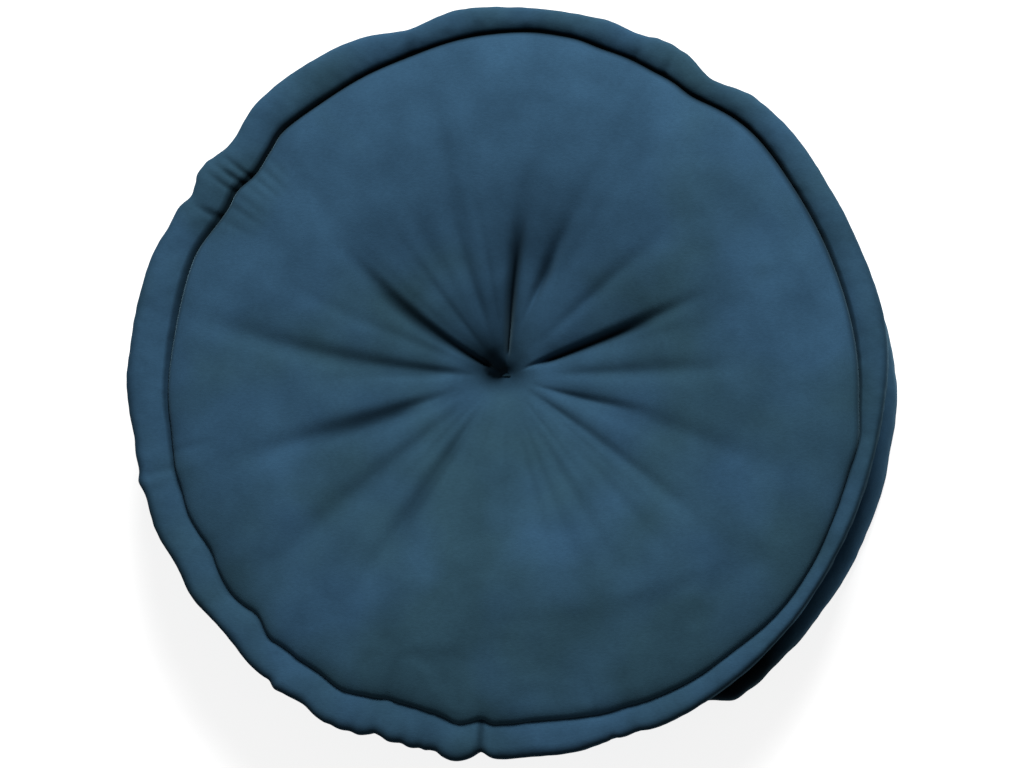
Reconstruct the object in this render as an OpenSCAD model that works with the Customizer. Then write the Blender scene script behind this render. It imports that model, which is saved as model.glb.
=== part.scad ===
// Round box cushion with two rolled edges and a stitched centre tuft.
// Units are millimetres. The origin is the centre of the underside and +Z is up.
// Every sewn piece is a sheet of cloth: a path in the (radius, height) plane,
// thickened to the cloth's thickness and turned about the axis.

/* [Cushion] */
// Outer diameter over the rolled edges
cushion_d = 400; // [300:5:600]
// Height over the two rolled edges
edge_h = 70; // [60:1:100]
// How far the crown of the top stands above the top rolled edge
crown_rise = 10; // [4:1:16]
// Radius of the ring where the top stands highest, as a share of the outer radius
crown_at = 0.54; // [0.40:0.01:0.65]

/* [Rolled edges] */
// Diameter of a rolled edge, cloth included
roll_d = 18; // [12:0.5:24]
// Length of the seam allowance behind a rolled edge
allowance = 10; // [6:1:14]

/* [Cloth] */
// Thickness of the velvet
cloth_t = 1.2; // [0.8:0.1:2]
// How far the side band bulges between the rolled edges
band_bulge = 5; // [0:0.5:8]
// Distance of the side band behind the outermost line of the rolled edges
band_inset = 13; // [8:0.5:14]
// Direction of the join in the side band, in degrees from +X
join_at = 100; // [0:1:359]

/* [Centre tuft] */
// Depth of the hollow in the top
top_pull = 38; // [20:1:44]
// Height of the hollow in the underside
bottom_pull = 16; // [8:1:20]
// Distance between the two strands of the tufting cord
strand_gap = 5; // [4:0.5:8]
// Diameter of the tufting cord
cord_d = 1.6; // [1:0.1:2.5]

/* [Thread] */
// Diameter of the sewing thread
thread_d = 0.7; // [0.4:0.1:1]
// Length of one stitch and the gap after it
stitch_pitch = 8; // [6:0.5:16]

/* [Hidden] */

$fn = 96;
gap = 0.2;            // clearance between neighbouring pieces
steps = 16;           // points on each stretch of a curve
shoulder_power = 0.8; // under 1 squares up the shoulder of a panel
hollow_power = 4;     // a higher power keeps the hollow nearer the centre
stitch_share = 2 / 3; // the part of a stitch's pitch that is thread
thread_fn = 16;

velvet = "#2f5269";
velvet_shade = "#27465a";
calico = "#e9e6dc";
foam = "#efe3a8";
thread = "#24404f";

outer_r = cushion_d / 2;
roll_r = roll_d / 2;
roll_at = outer_r - roll_r;            // radius of the rolled edges' centre line
top_roll_z = edge_h - roll_r;
mid_z = edge_h / 2;
crown_z = edge_h + crown_rise;
crown_r = outer_r * crown_at;
root_angle = 225;                      // from the roll's centre to its seam
hug_r = roll_r + gap + cloth_t / 2;    // a cloth lying on the roll
layer = 1.5 * cloth_t + gap;           // a cloth lying on the roll's double flange
corner_angle = root_angle - asin(layer / hug_r);
panel_edge_r = roll_at - hug_r;        // where a panel turns down beside the roll
band_r = outer_r - band_inset;
rest_r = panel_edge_r - 15;            // the flat of the underside ends here
hollow_r = cushion_d / 6;              // the hollow in the underside ends here
foam_inset = 8;                        // from the panels' edges in to the foam's side
foam_depth = 14;                       // from the rolled edges' height in to the foam's faces
foam_r = panel_edge_r - foam_inset;
foam_bottom = foam_depth;
foam_top = edge_h - foam_depth;
foam_round = 6;                        // radius of the foam's edges
pinch_t = 3 * cloth_t;                 // cloth and wadding under the tuft

// ---- paths and sheets of cloth ----

function unit(v) = v / norm(v);
function left(v) = [-v.y, v.x];
function reversed(list) = [for (i = [len(list) - 1:-1:0]) list[i]];
function last(list) = len(list) - 1;

// Offset direction at point i, longer where the path turns a corner.
function mitre(path, i) =
    path[i].x == 0 ? [0, 1] :
    let (
        before = unit(path[max(i, 1)] - path[max(i, 1) - 1]),
        after = unit(path[min(i, last(path) - 1) + 1] - path[min(i, last(path) - 1)]),
        middle = unit(left(before) + left(after))
    )
    middle / (middle * left(before));

function beside(path, distance) =
    [for (i = [0:last(path)]) path[i] + distance * mitre(path, i)];

function around(centre, radius, from, to) =
    [for (i = [0:steps])
        let (a = from + (to - from) * i / steps)
        centre + radius * [cos(a), sin(a)]];

function mirrored(path) = [for (p = path) [p.x, edge_h - p.y]];

module sheet(path) {
    polygon(concat(beside(path, cloth_t / 2), reversed(beside(path, -cloth_t / 2))));
}

module fill_between(upper, lower) {
    polygon(concat(upper, reversed(lower)));
}

// ---- shapes of the two panels ----

// 1 at the centre and 0 from s = 1 outwards, level at both ends.
function hollow(s) = s >= 1 ? 0 : pow(1 - s, hollow_power) * (1 + hollow_power * s);

// Out from the axis to radius end_r, with a hollow of the given depth.
function hollow_path(end_r, level, depth) =
    [for (i = [0:2 * steps])
        let (s = i / (2 * steps))
        [s * end_r, level - depth * hollow(s)]];

// A shoulder from a level stretch down to the vertical beside the roll.
function shoulder_path(start_r, level, power) =
    [for (i = [1:steps])
        let (a = 90 * i / steps)
        [start_r + (panel_edge_r - start_r) * pow(sin(a), power),
         top_roll_z + (level - top_roll_z) * pow(max(cos(a), 0), power)]];

// Round the inner side of the roll and along its flange.
function panel_tuck() =
    let (
        centre = [roll_at, top_roll_z],
        out = [cos(root_angle), sin(root_angle)],
        corner = centre + hug_r * [cos(corner_angle), sin(corner_angle)]
    )
    concat(
        [for (i = [1:steps - 1])
            let (a = 180 + (corner_angle - 180) * i / steps)
            centre + hug_r * [cos(a), sin(a)]],
        [corner, corner + allowance * out]);

top_path = concat(
    hollow_path(crown_r, crown_z - cloth_t / 2, top_pull),
    shoulder_path(crown_r, crown_z - cloth_t / 2, shoulder_power),
    panel_tuck());

// The underside is drawn as a top and mirrored, so its level is edge_h.
bottom_path = concat(
    hollow_path(hollow_r, edge_h - cloth_t / 2, bottom_pull),
    [[rest_r, edge_h - cloth_t / 2]],
    shoulder_path(rest_r, edge_h - cloth_t / 2, 1),
    panel_tuck());

// From the mid height of the band up to the top roll, then along its flange.
function half_band_path() =
    let (
        centre = [roll_at, top_roll_z],
        out = [cos(root_angle), sin(root_angle)],
        meet = 180 + acos((roll_at - band_r) / hug_r),
        corner = 2 * root_angle - corner_angle,
        meet_z = top_roll_z + hug_r * sin(meet)
    )
    concat(
        [for (i = [0:steps - 1])
            let (s = i / steps)
            [band_r + band_bulge * (1 - s * s), mid_z + (meet_z - mid_z) * s]],
        [centre + hug_r * [cos(meet), sin(meet)],
         centre + hug_r * [cos(corner), sin(corner)],
         centre + hug_r * [cos(corner), sin(corner)] + allowance * out]);

band_path = concat(
    reversed([for (i = [1:last(half_band_path())]) mirrored(half_band_path())[i]]),
    half_band_path());
// Height between the band's two flanges.
band_room = 2 * (band_path[last(band_path)].y - cloth_t - mid_z);
join_r = band_r + band_bulge - cloth_t / 4; // outer edge of the turned-in ends
join_h = band_room * 0.7;                   // height of the turned-in ends

// ---- the cover ----

module tuft_holes() {
    for (x = [-1, 1] * strand_gap / 2)
        translate([x, 0, -1]) cylinder(d = cord_d + 2 * gap, h = crown_z + 2);
}

module flip() {
    translate([0, 0, edge_h]) mirror([0, 0, 1]) children();
}

module panel(path) {
    difference() {
        rotate_extrude() sheet(path);
        tuft_holes();
    }
}

module top_panel() {
    color(velvet) panel(top_path);
}

module bottom_panel() {
    color(velvet) flip() panel(bottom_path);
}

// The band is one strip. Its two ends turn in and are sewn together at the join.
module side_band() {
    slit = 0.1; // degrees
    color(velvet_shade) rotate(join_at) {
        rotate(slit / 2) rotate_extrude(angle = 360 - slit) sheet(band_path);
        for (side = [-1, 1])
            translate([join_r - allowance, side * (cloth_t + gap) / 2 - cloth_t / 2,
                       mid_z - join_h / 2])
                cube([allowance, cloth_t, join_h]);
    }
}

// A strip folded round the rope, with its two edges together as the flange.
module roll_cover() {
    rotate_extrude()
        translate([roll_at, top_roll_z])
            difference() {
                union() {
                    circle(r = roll_r);
                    rotate(root_angle)
                        translate([roll_r - cloth_t, -cloth_t])
                            square([cloth_t + allowance, 2 * cloth_t]);
                }
                circle(r = roll_r - cloth_t);
            }
}

module top_roll_cover() {
    color(velvet) roll_cover();
}

module bottom_roll_cover() {
    color(velvet) flip() roll_cover();
}

// ---- the stitches ----

// Stitch lengths on both faces of the four layers, a little behind the roll.
module seam_stitches() {
    out = [cos(root_angle), sin(root_angle)];
    behind = [roll_at, top_roll_z] + (roll_r + allowance / 3) * out;
    reach = 2 * cloth_t + gap + thread_d / 2 + gap;
    count = floor(2 * PI * behind.x / stitch_pitch);
    for (i = [0:count - 1], side = [-1, 1])
        let (at = behind + side * reach * left(out))
        rotate(360 * i / count)
            rotate_extrude(angle = stitch_share * 360 / count)
                translate(at) circle(d = thread_d, $fn = thread_fn);
}

module top_seam_stitches() {
    color(thread) seam_stitches();
}

module bottom_seam_stitches() {
    color(thread) flip() seam_stitches();
}

module band_join_stitches() {
    count = 3;
    pitch = join_h / count;
    color(thread) rotate(join_at)
        for (i = [0:count - 1], side = [-1, 1])
            translate([join_r - allowance / 3, side * (cloth_t + 1.5 * gap + thread_d / 2),
                       mid_z + (i + (1 - count - stitch_share) / 2) * pitch])
                cylinder(d = thread_d, h = stitch_share * pitch, $fn = thread_fn);
}

// ---- the filling ----

module roll_rope() {
    rotate_extrude()
        translate([roll_at, top_roll_z]) circle(r = roll_r - cloth_t - gap);
}

module top_roll_rope() {
    color(calico) roll_rope();
}

module bottom_roll_rope() {
    color(calico) flip() roll_rope();
}

// Upper face of the foam from the axis to its side, pressed in by the tuft.
function foam_face(level, pull) = concat(
    [for (i = [0:steps])
        let (s = i / steps)
        [s * crown_r, level - pull * hollow(s)]],
    around([foam_r - foam_round, level - foam_round], foam_round, 90, 0));

foam_upper = foam_face(foam_top, foam_top - (crown_z - top_pull - pinch_t));
foam_lower = mirrored(foam_face(edge_h - foam_bottom, bottom_pull + pinch_t - foam_bottom));

module foam_core() {
    color(foam) difference() {
        rotate_extrude() fill_between(foam_upper, foam_lower);
        tuft_holes();
    }
}

// The part of a panel's inner face that the wadding lies against.
function inner_face(path) =
    let (face = beside(path, -cloth_t / 2 - gap))
    [for (p = face) if (p.y > top_roll_z || p.x < rest_r) p];

module wadding(path, foam_side) {
    difference() {
        rotate_extrude() fill_between(inner_face(path), foam_side);
        tuft_holes();
    }
}

module top_wadding() {
    color(calico) wadding(top_path, [for (p = foam_upper) p + [0, gap]]);
}

module bottom_wadding() {
    color(calico) flip()
        wadding(bottom_path, [for (p = mirrored(foam_lower)) p + [0, gap]]);
}

// A strip round the foam's side, open where the band's ends turn in.
module side_wadding() {
    opening = 4; // degrees
    against_band = [for (p = beside(band_path, cloth_t / 2 + gap))
        if (abs(p.y - mid_z) <= band_room / 2 && p.x > panel_edge_r + cloth_t) p];
    against_foam = [[foam_r + gap, against_band[0].y],
                    [foam_r + gap, against_band[last(against_band)].y]];
    color(calico) rotate(join_at + opening / 2)
        rotate_extrude(angle = 360 - opening) fill_between(against_band, against_foam);
}

// ---- the tuft ----

module elbow(radius) {
    rotate([90, 0, 0]) rotate_extrude(angle = 90) translate([radius, 0]) circle(d = cord_d);
}

// A closed loop of two strands, with a bar across the cloth at each end.
module tuft_cord() {
    bend = cord_d * 0.75;
    top_z = crown_z - top_pull + gap + cord_d / 2;
    bottom_z = bottom_pull - gap - cord_d / 2;
    bar = strand_gap - 2 * bend;
    color(thread) {
        for (x = [-1, 1] * strand_gap / 2)
            translate([x, 0, bottom_z + bend])
                cylinder(d = cord_d, h = top_z - bottom_z - 2 * bend);
        for (z = [top_z, bottom_z])
            translate([-bar / 2, 0, z]) rotate([0, 90, 0]) cylinder(d = cord_d, h = bar);
        translate([bar / 2, 0, top_z - bend]) elbow(bend);
        translate([-bar / 2, 0, top_z - bend]) mirror([1, 0, 0]) elbow(bend);
        translate([bar / 2, 0, bottom_z + bend]) mirror([0, 0, 1]) elbow(bend);
        translate([-bar / 2, 0, bottom_z + bend]) rotate([0, 180, 0]) elbow(bend);
    }
}

// Two turns under the lower bar, with two cut ends.
module tuft_knot() {
    turn_r = cord_d * 0.7;
    turn_pitch = cord_d * 0.8;
    tail_h = 7;
    tail_lean = 35;
    color(thread) translate([0, 0, bottom_pull - 2 * gap - cord_d * 1.5]) {
        for (z = [0, -turn_pitch])
            translate([0, 0, z]) rotate_extrude() translate([turn_r, 0]) circle(d = cord_d);
        for (side = [-1, 1])
            translate([0, 0, -turn_pitch])
                rotate([0, 180 + side * tail_lean, 0]) cylinder(d = cord_d, h = tail_h);
    }
}

top_panel();
bottom_panel();
side_band();
top_roll_cover();
bottom_roll_cover();
top_roll_rope();
bottom_roll_rope();
top_seam_stitches();
bottom_seam_stitches();
band_join_stitches();
foam_core();
top_wadding();
bottom_wadding();
side_wadding();
tuft_cord();
tuft_knot();
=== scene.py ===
"""A round velvet box cushion with rolled edges and one deep tuft, built round its CAD frame.

Shapes are worked out in millimetres, as arrays of points, and become meshes in metres.
Angles are in degrees, counter-clockwise from +X as seen from above.
"""

import math

import bmesh
import bpy
import numpy as np
from mathutils import Matrix, Vector, noise


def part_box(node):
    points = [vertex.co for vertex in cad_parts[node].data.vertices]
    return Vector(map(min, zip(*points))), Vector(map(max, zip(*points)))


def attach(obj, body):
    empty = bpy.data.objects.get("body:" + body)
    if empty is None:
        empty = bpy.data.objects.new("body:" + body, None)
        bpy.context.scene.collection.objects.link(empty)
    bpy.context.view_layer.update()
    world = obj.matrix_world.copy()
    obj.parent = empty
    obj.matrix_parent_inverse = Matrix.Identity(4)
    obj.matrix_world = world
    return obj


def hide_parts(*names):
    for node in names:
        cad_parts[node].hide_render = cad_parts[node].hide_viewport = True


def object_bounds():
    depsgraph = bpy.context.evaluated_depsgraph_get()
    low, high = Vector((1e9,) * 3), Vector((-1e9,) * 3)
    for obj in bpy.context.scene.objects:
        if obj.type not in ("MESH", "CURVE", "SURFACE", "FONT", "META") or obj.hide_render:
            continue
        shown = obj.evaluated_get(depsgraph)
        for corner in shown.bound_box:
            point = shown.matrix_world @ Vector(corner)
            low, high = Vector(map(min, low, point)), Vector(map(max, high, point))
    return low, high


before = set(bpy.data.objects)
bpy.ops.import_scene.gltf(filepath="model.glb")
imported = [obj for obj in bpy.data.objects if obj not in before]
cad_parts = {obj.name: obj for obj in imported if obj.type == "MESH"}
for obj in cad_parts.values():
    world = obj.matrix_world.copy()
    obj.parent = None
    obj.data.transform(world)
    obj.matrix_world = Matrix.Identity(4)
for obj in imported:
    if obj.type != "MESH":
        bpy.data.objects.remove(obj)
cad_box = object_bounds()

MM = 0.001

# ---- sizes, from the frame ----


def top_of(node):
    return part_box(node)[1].z / MM


def bottom_of(node):
    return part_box(node)[0].z / MM


CLOTH_T = 1.2        # velvet with its backing
CORD_D = 1.6         # tufting cord
GAP = 0.2            # between neighbours that all but touch
OUTER_R = cad_box[1].x / MM
CROWN_Z = cad_box[1].z / MM
EDGE_H = top_of("top_roll_cover")
ROLL_D = top_of("top_roll_rope") - bottom_of("top_roll_rope") + 2 * (CLOTH_T + GAP)
ROLL_R = ROLL_D / 2
TUFT_Z = top_of("tuft_cord") - CORD_D - GAP
BASE_TUFT_Z = bottom_of("tuft_cord") + CORD_D + GAP
FOAM_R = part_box("foam_core")[1].x / MM
FOAM_LOW, FOAM_HIGH = bottom_of("foam_core"), top_of("foam_core")

# ---- the cushion's own irregularities ----

# Where the tuft pulls the top down, a little off the axis.
TUFT = np.array([-3.5, 5.0])

# The outer line of the upper roll against a circle: (direction, half width, mm outwards).
TOP_OUT = [
    (4, 9, 1.4), (8, 12, 2.8), (40, 6, 1.6), (46, 2, 0.4), (49, 1.0, 0.5), (55.5, 4.2, -5.6),
    (62, 1.0, -0.5), (66, 0.9, 0.5), (69, 3.5, -2.2), (84, 12, -0.6), (96, 14, 0.8),
    (105.5, 5, -4.9), (126, 9, 1.6), (127, 5, -0.8), (139, 5, -5.8), (143.5, 0.7, 0.5),
    (147, 0.7, -0.6), (148, 3, -1.2), (149, 2.0, -3.6), (154, 4, -2.6), (165, 46, 5.0),
    (180, 5, 1.6), (188, 2.5, -1.2), (189, 4, 1.2), (194, 1.2, 1.6), (195, 1.6, 1.2),
    (202, 5, 2.4), (213, 3, 1.0), (215, 4, 1.6), (228, 4.5, 2.8), (232.5, 0.8, 0.7),
    (233.5, 3, 2.4), (240, 2.5, 1.2), (243, 5, 4.2), (247, 0.8, 0.5), (249, 0.7, -0.5),
    (250, 1.6, -2.0), (251.3, 0.9, 0.8), (258, 0.6, -0.7), (262, 2.2, 2.4), (266, 1.5, -2.6),
    (274, 6, -1.4), (286, 4, -2.6), (291, 2, -1.6), (330, 18, -1.6),
]
# The line where the upper roll meets the top: (direction, half width, mm outwards).
TOP_IN = [
    (0, 30, 3.5), (10, 13, -1.4), (22, 12, -1.3), (36, 12, -0.7), (45, 8, 2.0), (55, 6, -1.8),
    (57, 3, -1.4), (64, 4, -1.0), (70, 4, 0.5), (78, 3, 1.0), (84, 8, 3.4), (95, 9, 2.2),
    (110, 8, -1.4), (116, 9, 1.2), (122, 10, -3.0), (135, 2, -1.0), (140, 5, -6.5),
    (140, 11, -0.8), (147, 2, -1.2), (150, 5, -5.0), (166, 12, -2.8), (172, 9, -0.9),
    (180, 10, -1.7), (188, 5, -1.6), (202, 3, 1.4), (204, 12, -2.4), (206, 10, -1.0),
    (209, 2.5, -1.8), (217, 3, 1.4), (222, 2, -1.6), (223, 2, -1.2), (227, 2, 2.4),
    (228, 12, -3.2), (235, 3, -0.6), (242, 3, 2.6), (243, 6, -1.2), (250, 10, -5.2),
    (250, 42, -3.6), (253, 5, -2.2), (258, 6, -1.2), (262, 1.6, 2.0), (266, 1.4, -1.8),
    (268, 1, 0.8), (268, 14, -6.4), (276, 4, -1.8), (283, 8, -3.8), (286, 3, 1.4),
    (290, 14, -1.0), (295, 8, -1.6), (311, 7, -2.3), (311, 16, -1.0), (320, 18, 5.0),
    (350, 4, 2.4),
]
# The outer line of the lower roll against a circle.
BASE_OUT = [
    (9, 8, 3.4), (30, 12, -1.0), (52, 6, 1.2), (70, 7, -1.4), (98, 8, 1.5), (121, 6, -1.6),
    (150, 9, 1.4), (176, 7, -1.5), (201, 8, 1.5), (226, 6, -1.7), (247, 7, 1.0), (270, 8, -1.4),
    (296, 4, -1.2), (304, 2.4, 5.2), (308, 4, 6.2), (315, 6, 4.4), (328, 13, 6.8), (345, 9, 5.2),
    (358, 8, 6.2),
]
BASE_OUT_R = OUTER_R - 5

# Folds in the top that run out from the tuft:
# (direction, from mm, to mm, depth mm, half width mm at 60 mm out, turn in degrees on the way out)
FOLDS = [
    (0, 40, 132, 4.2, 4.2, 1), (13, 40, 120, 1.2, 3.4, -2), (18.5, 20, 106, 9.2, 2.8, 1.5),
    (39, 46, 118, 4.6, 4.0, -1), (57, 40, 150, 2.2, 4.0, -3), (64, 44, 134, 4.2, 4.4, -4),
    (66.5, 48, 76, 10.5, 3.0, -2), (83.5, 10, 98, 8.6, 3.3, -5), (86, 20, 44, 4.5, 2.2, 0),
    (97, 22, 90, 1.6, 2.4, 0), (103, 90, 160, 1.4, 3.0, 0), (107, 30, 132, 4.6, 4.2, -5),
    (119, 60, 112, 2.0, 4.4, 0), (127, 24, 96, 1.2, 2.8, -2), (131, 40, 100, 1.6, 5.0, 0),
    (138, 40, 150, 1.2, 3.4, -4), (146.8, 9, 106, 7.8, 3.8, -11), (159, 34, 130, 1.5, 3.4, -4),
    (173.5, 26, 172, 5.6, 4.2, -9), (181, 26, 80, 1.5, 2.4, 0), (182, 60, 120, 1.2, 5.0, 0),
    (198.8, 42, 136, 7.4, 4.0, -1), (205, 30, 92, 1.4, 2.8, 0), (219.5, 44, 166, 5.4, 4.6, 2),
    (227, 30, 84, 1.4, 2.6, 2), (237, 36, 144, 6.0, 4.0, 1), (245, 50, 120, 1.0, 4.6, 0),
    (246, 30, 104, 1.3, 3.0, 0), (253, 26, 92, 1.2, 2.6, 0), (262, 60, 130, 0.8, 5.0, 0),
    (271, 30, 100, 1.1, 3.0, 0), (286, 40, 104, 1.8, 3.4, 0), (293, 30, 112, 1.4, 3.0, 0),
    (301.5, 40, 120, 2.8, 4.0, 0), (309, 26, 92, 0.9, 2.6, 0), (314.5, 60, 128, 2.6, 4.0, -2),
    (320, 30, 104, 1.5, 2.6, -2), (325, 28, 128, 3.8, 3.4, -2), (338, 34, 116, 1.3, 3.0, -3),
    (341.5, 46, 168, 4.0, 5.0, -3), (343, 30, 76, 3.2, 2.8, 3),
]
# Folds in the underside, in the same terms.
BASE_FOLDS = [
    (12, 12, 50, 1.6, 3.5, 0), (58, 14, 46, 1.2, 3.0, 4), (101, 12, 56, 1.8, 3.6, -4),
    (149, 14, 44, 1.1, 3.0, 0), (196, 12, 52, 1.7, 3.6, 3), (243, 14, 48, 1.3, 3.2, 0),
    (287, 12, 58, 1.6, 3.8, -3), (334, 14, 44, 1.2, 3.0, 0),
]
# Puckers across the upper roll: (direction, depth mm, half width in degrees, side of the roll)
PUCKERS = [
    (62.5, 0.7, 0.8, "in"), (68, 0.8, 1.0, "in"), (106, 1.0, 1.6, "in"), (141.2, 1.0, 0.5, "in"),
    (143, 1.1, 0.5, "in"), (144.9, 0.8, 0.5, "in"), (150, 1.2, 0.7, "in"),
    (193.5, 0.8, 1.1, "all"), (231, 0.7, 0.8, "out"), (242.5, 0.4, 0.8, "out"),
    (245.5, 0.4, 0.8, "out"), (249, 0.5, 0.7, "out"), (253.5, 0.9, 0.9, "out"),
    (256.5, 0.9, 0.8, "out"), (259, 1.3, 0.9, "out"), (266, 1.2, 0.9, "all"),
    (287, 0.8, 0.8, "out"),
]

# Painted shade on the band and the lower roll, nearly black toward the lower right, the side away from
# the light: (direction, half width, share)
PAINTED_SIDE_SHADE = [(307, 16, 1.1)]
# Short wrinkles in the top that run in from its seam: (direction from the tuft, half width, mm)
SEAM_WRINKLES = [
    (62, 0.8, -0.4), (66, 0.7, -0.5), (137, 0.6, -0.3), (139.3, 0.6, -0.5), (141.4, 0.5, -0.6),
    (143.4, 0.6, -0.4), (145.9, 0.7, -0.5), (148, 0.7, -0.6), (151, 0.7, -0.5), (193, 0.9, -0.5),
    (245, 0.9, -0.4), (251, 0.8, -0.5), (256, 0.8, -0.4), (263, 0.8, -0.5), (286, 0.9, -0.4),
]

# Painted shade in and round the tuft, where its hollow lies in shadow: (direction, half width, share,
# full up to mm, none from mm).
# The wedge of painted shade lies beside the deepest folds and is laid over them, and the pit's painted
# shade darkens all of it.
WEDGE_DARK = [(122, 33, 1.0, 11, 28), (122, 33, 0.75, 8, 58.8)]
PIT_DARK = [(150, 58, 1.0, 6, 34), (85, 40, 0.3, 26, 60)]
PIT_DARK_ROUND = (0.5, 2, 14)   # painted shade of the pit, the same all round: share, full up to mm, none from mm

# ---- numbers the shapes are worked out with ----

# Rolled edges
ROLL_SQUARE = 0.84   # 1 for a round section, less for a flatter top and sides
ROLL_SKEW = 0.42     # how far outwards the highest line of a roll lies, as a share of its half width
ROLL_FLAT = 0.4      # how much of its height a roll loses where it is pinched narrow, as a share
ROOT = 228           # where the flange leaves a roll, in degrees round its section
FLANGE_LEAN = 242    # which way the flange then goes
FLANGE_L = 8         # how far
SEAM_L = 3.0         # how far along the flange its stitches lie
ROLL_TURNS, ROLL_SIDES = 1600, 44
ROPE_TURNS, ROPE_SIDES = 1080, 18
ROLL_SLACK = ((0.45, 15), (0.3, 6))   # unevenness of a roll: mm, and its size in mm
PUCKER_IN = (-0.6, 0.5)    # over which cosines of its section a pucker on the inner side ends
PUCKER_OUT = (-0.2, 0.7)   # and over which one on the outer side begins
MEET, MEET_SWING = 148, 19   # where a panel meets its roll, and how much more toward +Y
SEAM_DARK, SEAM_DARK_NORTH = 3, 21   # degrees of a roll painted with shade at its seam, and more toward +Y, where the seam lies in the roll's shadow
SEAM_FAINT = 0.35    # how much of that painted shade is left toward -Y
RIM_DARK = 0.9       # painted shade on the outer underside of the upper roll toward -Y, away from the light
RIM_NONE, RIM_FULL = 90, 50   # where on its section that comes in, on the way outwards and down
RIM_END_FULL, RIM_END_NONE = -112, -160   # and where it goes out again, underneath

# Panels
PANEL_CLEAR = 0.5    # between a panel and the roll it lies against
TUCK_RINGS = (176, 190, 203, 216)   # where the panel goes on round the roll, in degrees
TOP_TURNS, TOP_RINGS = 900, 96
BASE_TURNS, BASE_RINGS = 450, 60
CROWN_R = 121        # the highest ring of the top
CROWN_SHIFT = 4      # how much nearer the tuft it is toward +Y
BOWL_POWER = 1.7     # how hollow the bowl is: 1 for a cone
PIT_R = 24           # the steepest part round the tuft
PIT_SHARE = 0.13     # of the depth of the tuft
PIT_STEEP_AT, PIT_STEEP = 128, 0.55   # where the pit is steepest, and by what share narrower
SHOULDER_W, BASE_SHOULDER_W = 58, 22
SHOULDER_POWER = 2.2
BASE_HOLLOW_R = 66
BASE_REST_Z = 0.4
UNEVEN, UNEVEN_SIZE = 0.7, 46   # soft unevenness of a panel: mm, and its size in mm
SEAM_WRINKLE_FROM, SEAM_WRINKLE_FULL = 0.84, 0.96   # as shares of the way to the edge
SEAM_LINE_FROM = 0.988   # where the painted shade along the seam begins, in the same terms
SEAM_LINE_FAINT = 0.2    # how much of that painted shade is left toward -Y
AXIS = np.array([0.0, 0.0])

# Folds
FOLD_W_AT = 60       # the distance from the tuft at which a fold's half width is given
FOLD_W_LEAST, FOLD_W_MOST, FOLD_W_POWER = 0.25, 3, 0.6   # how it widens on the way out
FOLD_START = (0.4, 1.5)    # where a fold comes in, as shares of its start
FOLD_END = (0.55, 1.25)    # where it goes out, as shares of its end
FOLD_CREASE, FOLD_PULL = 0.4, 0.75   # depth of the crease itself, and of the cloth pulled down to it
FOLD_PULL_W = 4.2          # how many times wider the pull is
FOLD_DARK = (4.0, 9.0)     # depths from which painted shade begins in a fold's bottom, and is full

# The simulated swelling of the top between its folds
SIM_TURNS, SIM_RINGS = 300, 60
SWELL_PRESSURE = 1.2
SWELL_FRAMES = 20
SWELL_MOST = 2.5     # mm
SWELL_HELD_DEPTH = 3.0   # cloth in folds this deep is held
SWELL_HELD_R = 14        # and so is the cloth this near the tuft

# Band
BAND_TURNS, BAND_ROWS = 900, 24
BAND_BULGE = 4.0
BAND_TUCK = 250      # where the band lies against a roll, in degrees round the roll's section
BAND_LEAVES = 262    # where it leaves the roll
BAND_SLACK, BAND_SLACK_SIZE = 1.3, 22       # its soft waves: mm, and their size in mm
BAND_GATHER, BAND_GATHER_SIZE = 0.7, 5.5    # and the finer ones close to its two seams
BAND_JOIN = 100      # direction of the short seam that closes the band
BAND_JOIN_DEPTH, BAND_JOIN_W = 1.4, 0.35    # in mm and in degrees

# Thread, cord and filling
STITCH_PITCH, STITCH_SHARE = 8, 0.66
THREAD_R = 0.35
THREAD_SIDES, CORD_SIDES = 6, 12
CORD_HALF, CORD_BEND = 2.5, 1.2   # half the width of the cord's loop, and the radius of its corners
WADDING_CLEAR = 2.0
WADDING_LEAST = 1.5
WADDING_BEHIND = 2.6      # between the band and the wadding behind it
SIDE_WADDING_TURNS = 360
FOAM_ROUND = 6
FOAM_RINGS = 34
FILLING_STEP = 3     # columns of a panel's grid for each of the filling's

# Colours
VELVET_BLUE, VELVET_GREEN = (0.0222, 0.0565, 0.0975), (0.0193, 0.0480, 0.0695)
PATCH_LOW, PATCH_HIGH = 0.34, 0.58   # between which values of the noise the two colours blend
PAINTED_SHADE_RAMP = [(0.0, 1.0), (0.85, 0.24), (1.0, 0.04)]   # how light the velvet is painted at each value of painted shade
# How fine the patterns of the velvet are, in features to a metre
PATCH_SCALE, NAP_SCALE, RUB_SCALE, GRAIN_SCALE, PILE_SCALE = 14, 38, 160, 1300, 1500

# ---- small tools ----


def turn(angle):
    """The angle in degrees brought between -180 and 180."""
    return (np.asarray(angle) + 180) % 360 - 180


def bumps(angle, features):
    """Sum of smooth bumps round the circle."""
    total = np.zeros_like(np.asarray(angle, float))
    for at, width, height in features:
        total += height * np.exp(-((turn(angle - at) / width) ** 2))
    return total


def smooth(x, low, high):
    """0 below low and 1 above high, smooth between."""
    t = np.clip((x - low) / (high - low), 0, 1)
    return t * t * (3 - 2 * t)


def rumple(points, size, seed):
    """Soft noise between -1 and 1, for an array of points in millimetres."""
    shift = Vector((seed * 17.3, seed * 7.1, seed * 3.7))
    flat = points.reshape(-1, 3)
    values = [noise.noise(Vector(p) / size + shift) for p in flat]
    return np.array(values).reshape(points.shape[:-1])


def unit(angle):
    return np.stack([np.cos(np.radians(angle)), np.sin(np.radians(angle))], -1)


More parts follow.
